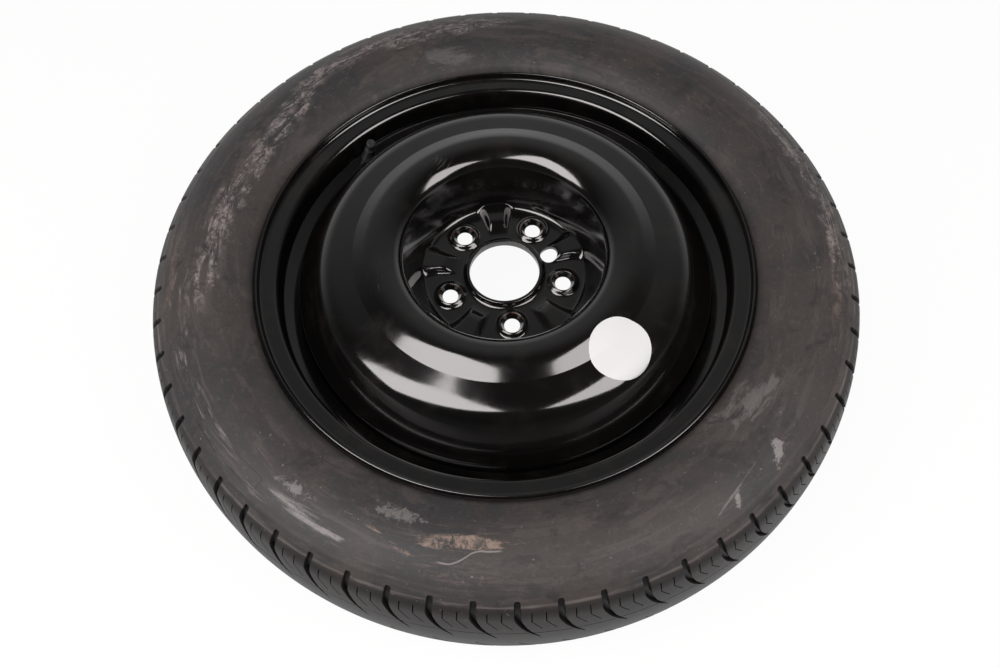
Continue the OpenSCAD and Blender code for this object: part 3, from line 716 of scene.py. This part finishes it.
# Rim
def make_rim():
    """The rim as one turned sheet, with the hole for the valve."""
    end = FLANGE_FACE - SEAT_LENGTH

    def half(well_end):
        """The outline from a lip to the well, for one half of the rim."""
        drop = SEAT_LENGTH * math.tan(SEAT_SLOPE)
        return [
            (FLANGE_R, FLANGE_EDGE, 0),
            (FLANGE_R, FLANGE_FACE, 6.6),
            (BEAD_R, FLANGE_FACE, 2.6),
            (BEAD_R - drop + 0.18, end + 7.5, 3),
            (BEAD_R - drop + 0.9, end + 5, 3),
            (BEAD_R - drop + 0.9, end + 2.6, 3),
            (BEAD_R - drop, end, 3),
            (BEAD_R - WELL_DEPTH, well_end, 1.5),
        ]

    run = WELL_DEPTH - SEAT_LENGTH * math.tan(SEAT_SLOPE)
    upper = half(end - run * math.tan(math.radians(18)))
    lower = [(r, -z, b) for r, z, b in half(end - run)][::-1]
    line = bent_line(upper + lower, 6)
    inside = beside(line, -RIM_SHEET)

    def lip(a, b, sign):
        """The rounded edge of a lip, from one side of the sheet to the other."""
        middle, out = (a + b) / 2, np.array([0, sign])
        half_gap = (a - b) / 2
        reach = np.linalg.norm(half_gap)
        turns = np.linspace(0.2, math.pi - 0.2, 7)
        return [middle + half_gap * math.cos(t) + out * reach * (math.sin(t) - 1) for t in turns]

    lower_lip, upper_lip = lip(line[-1], inside[-1], -1), lip(inside[0], line[0], 1)
    profile = np.vstack([line[1:-1], lower_lip, inside[::-1][1:-1], upper_lip])
    profile[:, 1] -= OFFSET
    rim = lathe("wheel_rim", profile, 384, PAINT)
    hole = lathe("cutter", [(0.01, -9), (VALVE_HOLE_R, -9), (VALVE_HOLE_R, 9), (0.01, 9)], 48, None)
    lean = Matrix.Rotation(math.radians(-18), 4, "Y")
    place = Matrix.Translation((VALVE_R * MM, 0, VALVE_Z * MM))
    hole.data.transform(Matrix.Rotation(VALVE_ANGLE, 4, "Z") @ place @ lean)
    cut(rim, [hole])
    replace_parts(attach(rim, "wheel"), "rim")


# Tyre
def arc_points(centre, r, first, last, n):
    w = np.radians(np.linspace(first, last, n))
    return np.stack([centre[0] + r * np.cos(w), centre[1] + r * np.sin(w)], 1)


SHOULDER_C = np.array([TYRE_R - CROWN_DROP - SHOULDER_ROUND, HALF_TREAD])
CROWN_ROUND = (HALF_TREAD**2 + (CROWN_DROP + SHOULDER_ROUND) ** 2 - SHOULDER_ROUND**2) / (2 * CROWN_DROP)
CROWN_TURN = math.degrees(math.atan2(HALF_TREAD, CROWN_ROUND - CROWN_DROP - SHOULDER_ROUND))
CROWN_EDGE = CROWN_ROUND * math.sin(math.radians(CROWN_TURN))
UPPER_ROUND = (
    (SHOULDER_C[0] - WIDEST_R) ** 2 + (HALF_WIDTH - HALF_TREAD) ** 2 - SHOULDER_ROUND**2
) / (2 * (HALF_WIDTH - HALF_TREAD - SHOULDER_ROUND))
UPPER_C = np.array([WIDEST_R, HALF_WIDTH - UPPER_ROUND])
SHOULDER_TURN = math.degrees(math.atan2(SHOULDER_C[1] - UPPER_C[1], SHOULDER_C[0] - UPPER_C[0]))
LOWER_R, LOWER_Z = FLANGE_R + 4.0, FLANGE_FACE + 9.0
LOWER_ROUND = ((WIDEST_R - LOWER_R) ** 2 + (HALF_WIDTH - LOWER_Z) ** 2) / (2 * (HALF_WIDTH - LOWER_Z))
LOWER_C = np.array([WIDEST_R, HALF_WIDTH - LOWER_ROUND])
LOWER_TURN = 180 - math.degrees(math.asin((LOWER_Z - LOWER_C[1]) / LOWER_ROUND))


def tread_rows(positions):
    """Points and outward normals of the tread's outline at heights from the middle of the tyre."""
    points, normals = [], []
    for z in positions:
        if abs(z) <= CROWN_EDGE:
            w = math.asin(z / CROWN_ROUND)
            c, r = (TYRE_R - CROWN_ROUND, 0.0), CROWN_ROUND
        else:
            c, r = (SHOULDER_C[0], math.copysign(SHOULDER_C[1], z)), SHOULDER_ROUND
            w = math.asin(max(-1, min(1, (z - c[1]) / r)))
            if abs(w) > math.radians(SHOULDER_TURN):
                c, r = (UPPER_C[0], math.copysign(UPPER_C[1], z)), UPPER_ROUND
                w = math.asin(max(-1, min(1, (z - c[1]) / r)))
        points.append((c[0] + r * math.cos(w), c[1] + r * math.sin(w)))
        normals.append((math.cos(w), math.sin(w)))
    return np.array(points), np.array(normals)


# Columns of one pitch of the tread: place round the tyre in mm, what they belong to, and how deep they go
GROOVE, SIPE_A, SIPE_B, BLOCK = range(4)
COLUMNS = [
    (-3.0, GROOVE, 0),
    (-2.45, GROOVE, 1),
    (2.45, GROOVE, 1),
    (3.0, GROOVE, 0),
    (7.3, BLOCK, 0),
    (11.2, SIPE_A, 0),
    (11.7, SIPE_A, 1),
    (12.2, SIPE_A, 0),
    (17.7, BLOCK, 0),
    (23.2, SIPE_B, 0),
    (23.7, SIPE_B, 1),
    (24.2, SIPE_B, 0),
    (28.2, BLOCK, 0),
    (31.4, BLOCK, 0),
]
TREAD_TOP = 60.6

# Tables of the tread: height from the middle, and the value there
GROOVE_LINE = np.array(
    [(0, 21), (10.5, 19.1), (14, 16.8), (18.5, 13.2), (26.5, 8.2)]
    + [(32, 5.2), (37, 3.2), (42, 1.2), (47, 0), (80, 0)]
)
GROOVE_WIDTH = np.array([(0, 0.25), (10.5, 0.28), (18.5, 0.5), (26.5, 0.68), (37, 0.85), (46, 1), (80, 1)])
GROOVE_DEPTH = np.array(
    [(0, 0), (9.5, 0), (13, 1.6), (20, 4.5), (46, 5), (56, 4), (59.4, 3.4), (60.0, 0.0), (80, 0)]
)
SIPE_LINE = np.array([(0, 21), (13, 17.8), (20, 13.4), (30, 8.4), (42.5, 0), (80, 0)])
SIPE_DEPTH = np.array([(0, 0), (29.4, 0), (30.4, 2.2), (52.4, 2.2), (52.9, 0), (80, 0)])


def at(table, z):
    """The value of a tread table at a height."""
    return np.interp(z, table[:, 0], table[:, 1])


def tread_half(heights):
    """Places round the tyre and depths of one half of the tread, for heights from the middle up."""
    z = np.asarray(heights, float)[:, None]
    u = np.zeros((len(heights), len(COLUMNS)))
    d = np.zeros_like(u)
    for k, (place, kind, deep) in enumerate(COLUMNS):
        if kind == GROOVE:
            end = np.clip((TREAD_TOP - 0.6 - z[:, 0]) / 2.0, 0.0, 1.0)
            rounding = np.sqrt(1 - (1 - end) ** 2 * 0.55)
            u[:, k] = place * at(GROOVE_WIDTH, z[:, 0]) * rounding + at(GROOVE_LINE, z[:, 0])
            d[:, k] = deep * at(GROOVE_DEPTH, z[:, 0])
        elif kind == BLOCK:
            u[:, k] = place + (at(GROOVE_LINE, z[:, 0]) + at(SIPE_LINE, z[:, 0])) / 2
        else:
            u[:, k] = place + at(SIPE_LINE, z[:, 0])
            d[:, k] = deep * at(SIPE_DEPTH, z[:, 0])
    return u, d


def make_tyre():
    """The tyre, with its tread cut into the crown and shoulders."""
    # Heights of the tread's rows; the lower half leaves some out
    up = [0, 4, 8, 10.5, 12, 14, 17, 19.6, 20.55, 20.9, 21.5, 21.85, 24, 26.5, 29.4, 30.4, 33, 36, 39, 41]
    up += [42.5, 44, 46, 47.5, 49, 50.5, 51.6, 52.3, 52.95, 54, 55.2, 56.4, 57.4, 58.2, 58.8, 59.3]
    up += [59.7, 60.1, 60.6]
    down = [z for z in up if z not in (4, 12, 33, 39, 44, 47.5, 50.5, 55.2, 57.4, 59.7)]
    line_at = (20.9, 21.5)
    pitch = 2 * math.pi / PITCHES
    per = len(COLUMNS)
    scale = pitch / PITCH_LENGTH
    base = np.arange(PITCHES)[:, None] * pitch
    u_up, d_up = tread_half(up)
    u_down, d_down = tread_half(down)
    # The lower half is the upper half turned half round about a line through the tread, half a pitch on
    turn = 20.5
    mirror_u = turn - u_down[:, ::-1]
    mirror_d = d_down[:, ::-1]

    def rolled(roll, whole):
        """The lower half's places, a number of columns and whole pitches on."""
        moved = np.roll(mirror_u, -roll, axis=1).copy()
        moved[:, per - roll :] += PITCH_LENGTH
        return moved + whole * PITCH_LENGTH

    # The shift is the one at which both halves' columns run in step at the middle
    shifts = [(roll, whole) for roll in range(per) for whole in (-2, -1, 0, 1, 2)]
    roll, whole = min(shifts, key=lambda k: np.abs(rolled(*k)[0] - u_up[0]).max())
    mirror_u = rolled(roll, whole)
    mirror_d = np.roll(mirror_d, -roll, axis=1)
    rows_z = [-z for z in down[:0:-1]] + up
    u = np.vstack([mirror_u[:0:-1], u_up])
    d = np.vstack([mirror_d[:0:-1], d_up])
    for i, z in enumerate(rows_z):
        if line_at[0] <= abs(z) <= line_at[1]:
            d[i] = np.maximum(d[i], 1.3)
    cols = PITCHES * per
    angle = GROOVE_ANGLE + (base[None] + (u * scale)[:, None, :]).reshape(len(rows_z), cols)
    depth = np.repeat(d[:, None, :], PITCHES, 1).reshape(len(rows_z), cols)
    p, n = tread_rows(rows_z)
    r = p[:, 0, None] - depth * n[:, 0, None]
    z = p[:, 1, None] - depth * n[:, 1, None]
    fine = np.stack([r * np.cos(angle), r * np.sin(angle), z - OFFSET], -1)
    verts = [fine.reshape(-1, 3)]
    quads = [ring_faces(len(rows_z), cols, False)]
    total = fine.shape[0] * cols
    half_cols = cols // 2

    def side(sign, path, start_row, total):
        """A sidewall with half as many columns, joined to the tread's last row."""
        a = angle[start_row][::2]
        rr = np.repeat(path[:, 0, None], half_cols, 1)
        zz = np.repeat(path[:, 1, None], half_cols, 1) * sign
        ang = np.repeat(a[None], len(path), 0)
        if sign > 0:
            zz = zz + sidewall_relief(rr)
        grid = np.stack([rr * np.cos(ang), rr * np.sin(ang), zz - OFFSET], -1).reshape(-1, 3)
        f = ring_faces(len(path), half_cols, False) + total
        k = np.arange(half_cols)
        k2 = (k + 1) % half_cols
        t0 = start_row * cols + 2 * k
        t1, t2 = t0 + 1, start_row * cols + (2 * k + 2) % cols
        b0, b1 = total + k, total + k2
        tris = [np.stack(x, 1) for x in ((t0, t1, b0), (t1, b1, b0), (t1, t2, b1))]
        return grid, f, tris

    first_turn = math.degrees(math.asin((TREAD_TOP + 1.2 - UPPER_C[1]) / UPPER_ROUND))
    outer = np.vstack(
        [
            arc_points(UPPER_C, UPPER_ROUND, first_turn, 90, 22),
            arc_points(LOWER_C, LOWER_ROUND, 92.5, LOWER_TURN, 18),
            bent_line(
                [
                    (LOWER_R, LOWER_Z, 0),
                    (FLANGE_R + 1.6, LOWER_Z - 4.5, 1.6),
                    (FLANGE_R + 1.2, FLANGE_FACE - 0.15, 7),
                    (BEAD_R + 0.15, FLANGE_FACE - 0.15, 3.5),
                    (BEAD_R - 1.0, FLANGE_FACE - 13.4, 0),
                    (BEAD_R + 4, FLANGE_FACE - 14.9, 0),
                    (236, 46, 0),
                ],
                3,
            )[1:],
        ]
    )
    inner = outer[[0, 5, 10, 15, 20, 24, 29, 34, 38]]
    inner = np.vstack([inner, outer[39:]])
    tris = []
    for sign, path, row in ((1, outer, len(rows_z) - 1), (-1, inner, 0)):
        grid, wall_quads, wall_tris = side(sign, path, row, total)
        verts.append(grid)
        quads.append(wall_quads)
        tris += wall_tris
        total += len(grid)
    all_faces = np.vstack(quads).tolist() + np.vstack(tris).tolist()
    tyre = mesh_object("wheel_tyre", np.vstack(verts) * MM, all_faces, RUBBER, 38)
    mesh = tyre.data
    # Depth of the grooves from 0 to 1, which darkens the rubber there as dirt and painted shade
    groove = np.zeros(len(mesh.vertices))
    groove[: depth.size] = np.clip(depth.ravel() / 1.5, 0, 1)
    mesh.attributes.new("groove", "FLOAT", "POINT").data.foreach_set("value", groove)
    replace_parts(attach(tyre, "wheel"), "tyre")


def wall_height(r):
    """Height of the outer sidewall above the tyre's middle plane."""
    r = np.asarray(r, float)
    centre = np.where(r > WIDEST_R, UPPER_C[1], LOWER_C[1])
    rounding = np.where(r > WIDEST_R, UPPER_ROUND, LOWER_ROUND)
    return centre + np.sqrt(rounding**2 - (r - WIDEST_R) ** 2)


def raised_line(name, points, width=1.0, rise=0.45):
    """A closed moulded line that stands on the outer sidewall, through points of radius and degrees."""
    p = np.array(points, float)
    r, w = p[:, 0], np.radians(p[:, 1])
    flat = np.stack([r * np.cos(w), r * np.sin(w)], 1)
    ahead = np.roll(flat, -1, 0) - np.roll(flat, 1, 0)
    ahead /= np.linalg.norm(ahead, axis=1)[:, None]
    side = turned_left(ahead)
    rows = []
    for off, up in ((-0.5, -0.3), (-0.3, rise), (0.3, rise), (0.5, -0.3)):
        q = flat + side * off * width
        rows.append(np.column_stack([q, wall_height(np.hypot(q[:, 0], q[:, 1])) + up - OFFSET]))
    verts = np.array(rows).reshape(-1, 3) * MM
    line = mesh_object(name, verts, ring_faces(4, len(p), True), RUBBER, 50)
    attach(line, "wheel")


def rounded_box(r, degrees, length, width, corner, lean=0.0):
    """Points of a rounded oblong on the sidewall, centred at a radius and an angle."""
    points = []
    w0 = math.radians(degrees)
    for cx, cy, start in ((1, 1, 0), (-1, 1, 90), (-1, -1, 180), (1, -1, 270)):
        for k in range(9):
            t = math.radians(start + 90 * k / 8)
            x = cx * (length / 2 - corner) + corner * math.cos(t)
            y = cy * (width / 2 - corner) + corner * math.sin(t)
            y += lean * x
            rr = r + y
            points.append((rr, math.degrees(w0 + x / r)))
    dense = []
    for a, b in zip(points, points[1:] + points[:1]):
        n = max(1, int(math.hypot(b[0] - a[0], math.radians(b[1] - a[1]) * r) / 3))
        dense += [(a[0] + (b[0] - a[0]) * k / n, a[1] + (b[1] - a[1]) * k / n) for k in range(n)]
    return dense


def make_sidewall_marks():
    """The bare panel and the small oval moulded on the outer sidewall."""
    raised_line("wheel_tyre_panel", rounded_box(307.5, 218.6, 86, 12.5, 1.2, -0.03), 0.9, 0.35)
    raised_line("wheel_tyre_oval", rounded_box(245.5, 285.2, 23, 10.5, 5.2), 0.9, 0.4)


def sidewall_relief(r):
    """Height of the small ribs on the outer sidewall."""
    height = np.zeros_like(r)
    for place, width, rise in ((243.2, 0.9, 0.7), (247.0, 0.7, 0.35), (319.0, 1.0, 0.5)):
        height += rise * np.exp(-(((r - place) / width) ** 2))
    return height * (r > 241)


make_disc()
make_label()
make_rim()
make_tyre()
make_sidewall_marks()


# Camera, light and floor
def photo_camera():
    """The photograph's camera. It looks past the aim point, so that this lands on its pixel."""
    cos_up, sin_up = math.cos(CAMERA_ELEVATION), math.sin(CAMERA_ELEVATION)
    place = np.array([0, -CAMERA_DISTANCE * cos_up, CAMERA_DISTANCE * sin_up])
    forward = -place / CAMERA_DISTANCE
    right = np.array([1.0, 0, 0])
    up = np.cross(right, forward)
    cos_roll, sin_roll = math.cos(CAMERA_ROLL), math.sin(CAMERA_ROLL)
    turn = np.array([[cos_roll, -sin_roll, 0], [sin_roll, cos_roll, 0], [0, 0, 1]])
    level = turn @ np.stack([right, up, -forward])
    aside = (AIM_PIXEL[0] - IMAGE_SIZE[0] / 2) / FOCAL_PIXELS
    above = (IMAGE_SIZE[1] / 2 - AIM_PIXEL[1]) / FOCAL_PIXELS
    want = unit(np.array([aside, above, -1.0]))
    ahead = np.array([0, 0, -1.0])
    v, c = np.cross(ahead, want), float(ahead @ want)
    k = np.array([[0, -v[2], v[1]], [v[2], 0, -v[0]], [-v[1], v[0], 0]])
    to_camera = (np.eye(3) + k + k @ k / (1 + c)) @ level
    data = bpy.data.cameras.new("camera")
    data.sensor_width = 36
    data.lens = FOCAL_PIXELS * data.sensor_width / IMAGE_SIZE[0]
    data.clip_start, data.clip_end = 0.05, 100
    cam = bpy.data.objects.new("camera", data)
    scene.collection.objects.link(cam)
    m = Matrix(to_camera.T.tolist()).to_4x4()
    m.translation = Vector((place + [0, 0, AIM_HEIGHT]) * MM)
    cam.matrix_world = m
    scene.camera = cam


def softbox(name, x, y, turn, size, radiance):
    """A flat lamp that faces down, of an even brightness."""
    data = bpy.data.lights.new(name, "AREA")
    data.shape = "RECTANGLE"
    data.size, data.size_y = size
    data.energy = radiance * math.pi * size[0] * size[1]
    data.color = LAMP_COLOUR
    lamp = bpy.data.objects.new(name, data)
    scene.collection.objects.link(lamp)
    lamp.location = (x, y, LAMP_HEIGHT)
    lamp.rotation_euler = (0, 0, math.radians(turn))
    lamp.visible_camera = False


def seen_directly(add, link):
    """A value of 1 for camera, glossy and transmission rays, built with a tree's own calls."""
    path = add("ShaderNodeLightPath")
    total = path.outputs["Is Camera Ray"]
    for name in ("Is Glossy Ray", "Is Transmission Ray"):
        m = add("ShaderNodeMath")
        m.operation = "MAXIMUM"
        link(total, m.inputs[0])
        link(path.outputs[name], m.inputs[1])
        total = m.outputs[0]
    return total


def make_floor():
    """A pale floor that shows white by itself, and still takes the shadow."""
    n = Nodes("floor")
    n.set(Base_Color=(0.86, 0.86, 0.86), Roughness=0.9, Specular_IOR_Level=0.0)
    glow = n.add("ShaderNodeEmission")
    glow.inputs["Strength"].default_value = 1.0
    blend = n.add("ShaderNodeMixShader")
    n.link(n.math("MULTIPLY", seen_directly(n.add, n.link), FLOOR_SEEN), blend.inputs[0])
    n.link(n.shader.outputs[0], blend.inputs[1])
    n.link(glow.outputs[0], blend.inputs[2])
    n.link(blend.outputs[0], n.out.inputs["Surface"])
    low = cad_low.z - 0.0002
    corners = [(x * FLOOR_HALF, y * FLOOR_HALF, low) for x, y in ((-1, -1), (1, -1), (1, 1), (-1, 1))]
    mesh_object("floor", corners, [(0, 1, 2, 3)], n.mat)


def make_world():
    """A dim studio with a paler far wall."""
    world = bpy.data.worlds.new("world")
    scene.world = world
    world.use_nodes = True
    tree = world.node_tree
    tree.nodes.clear()
    out = tree.nodes.new("ShaderNodeOutputWorld")
    room = tree.nodes.new("ShaderNodeBackground")
    room.inputs["Strength"].default_value = 1.0
    coords = tree.nodes.new("ShaderNodeTexCoord")
    split = tree.nodes.new("ShaderNodeSeparateXYZ")

    def part(socket, low, high, a, b):
        """A level that goes from a to b with one part of the direction."""
        level = tree.nodes.new("ShaderNodeMapRange")
        level.interpolation_type = "SMOOTHSTEP"
        for name, value in (("From Min", low), ("From Max", high), ("To Min", a), ("To Max", b)):
            level.inputs[name].default_value = value
        tree.links.new(split.outputs[socket], level.inputs["Value"])
        return level.outputs["Result"]

    tree.links.new(coords.outputs["Generated"], split.inputs[0])
    both = tree.nodes.new("ShaderNodeMath")
    both.operation = "MULTIPLY"
    tree.links.new(part("Y", 0.0, 0.85, SIDE_WALLS, FAR_WALL), both.inputs[0])
    tree.links.new(part("Z", 0.12, 0.5, 1.0, 0.42), both.inputs[1])
    grey = tree.nodes.new("ShaderNodeCombineColor")
    for socket in grey.inputs:
        tree.links.new(both.outputs[0], socket)
    tree.links.new(grey.outputs[0], room.inputs["Color"])
    tree.links.new(room.outputs[0], out.inputs["Surface"])


photo_camera()
softbox("key", -1.45, -0.82, 15, (2.6, 1.05), 6.6)
softbox("fill", 1.65, -0.88, -17, (2.2, 1.1), 5.6)
make_floor()
make_world()
scene.view_settings.view_transform = "Standard"
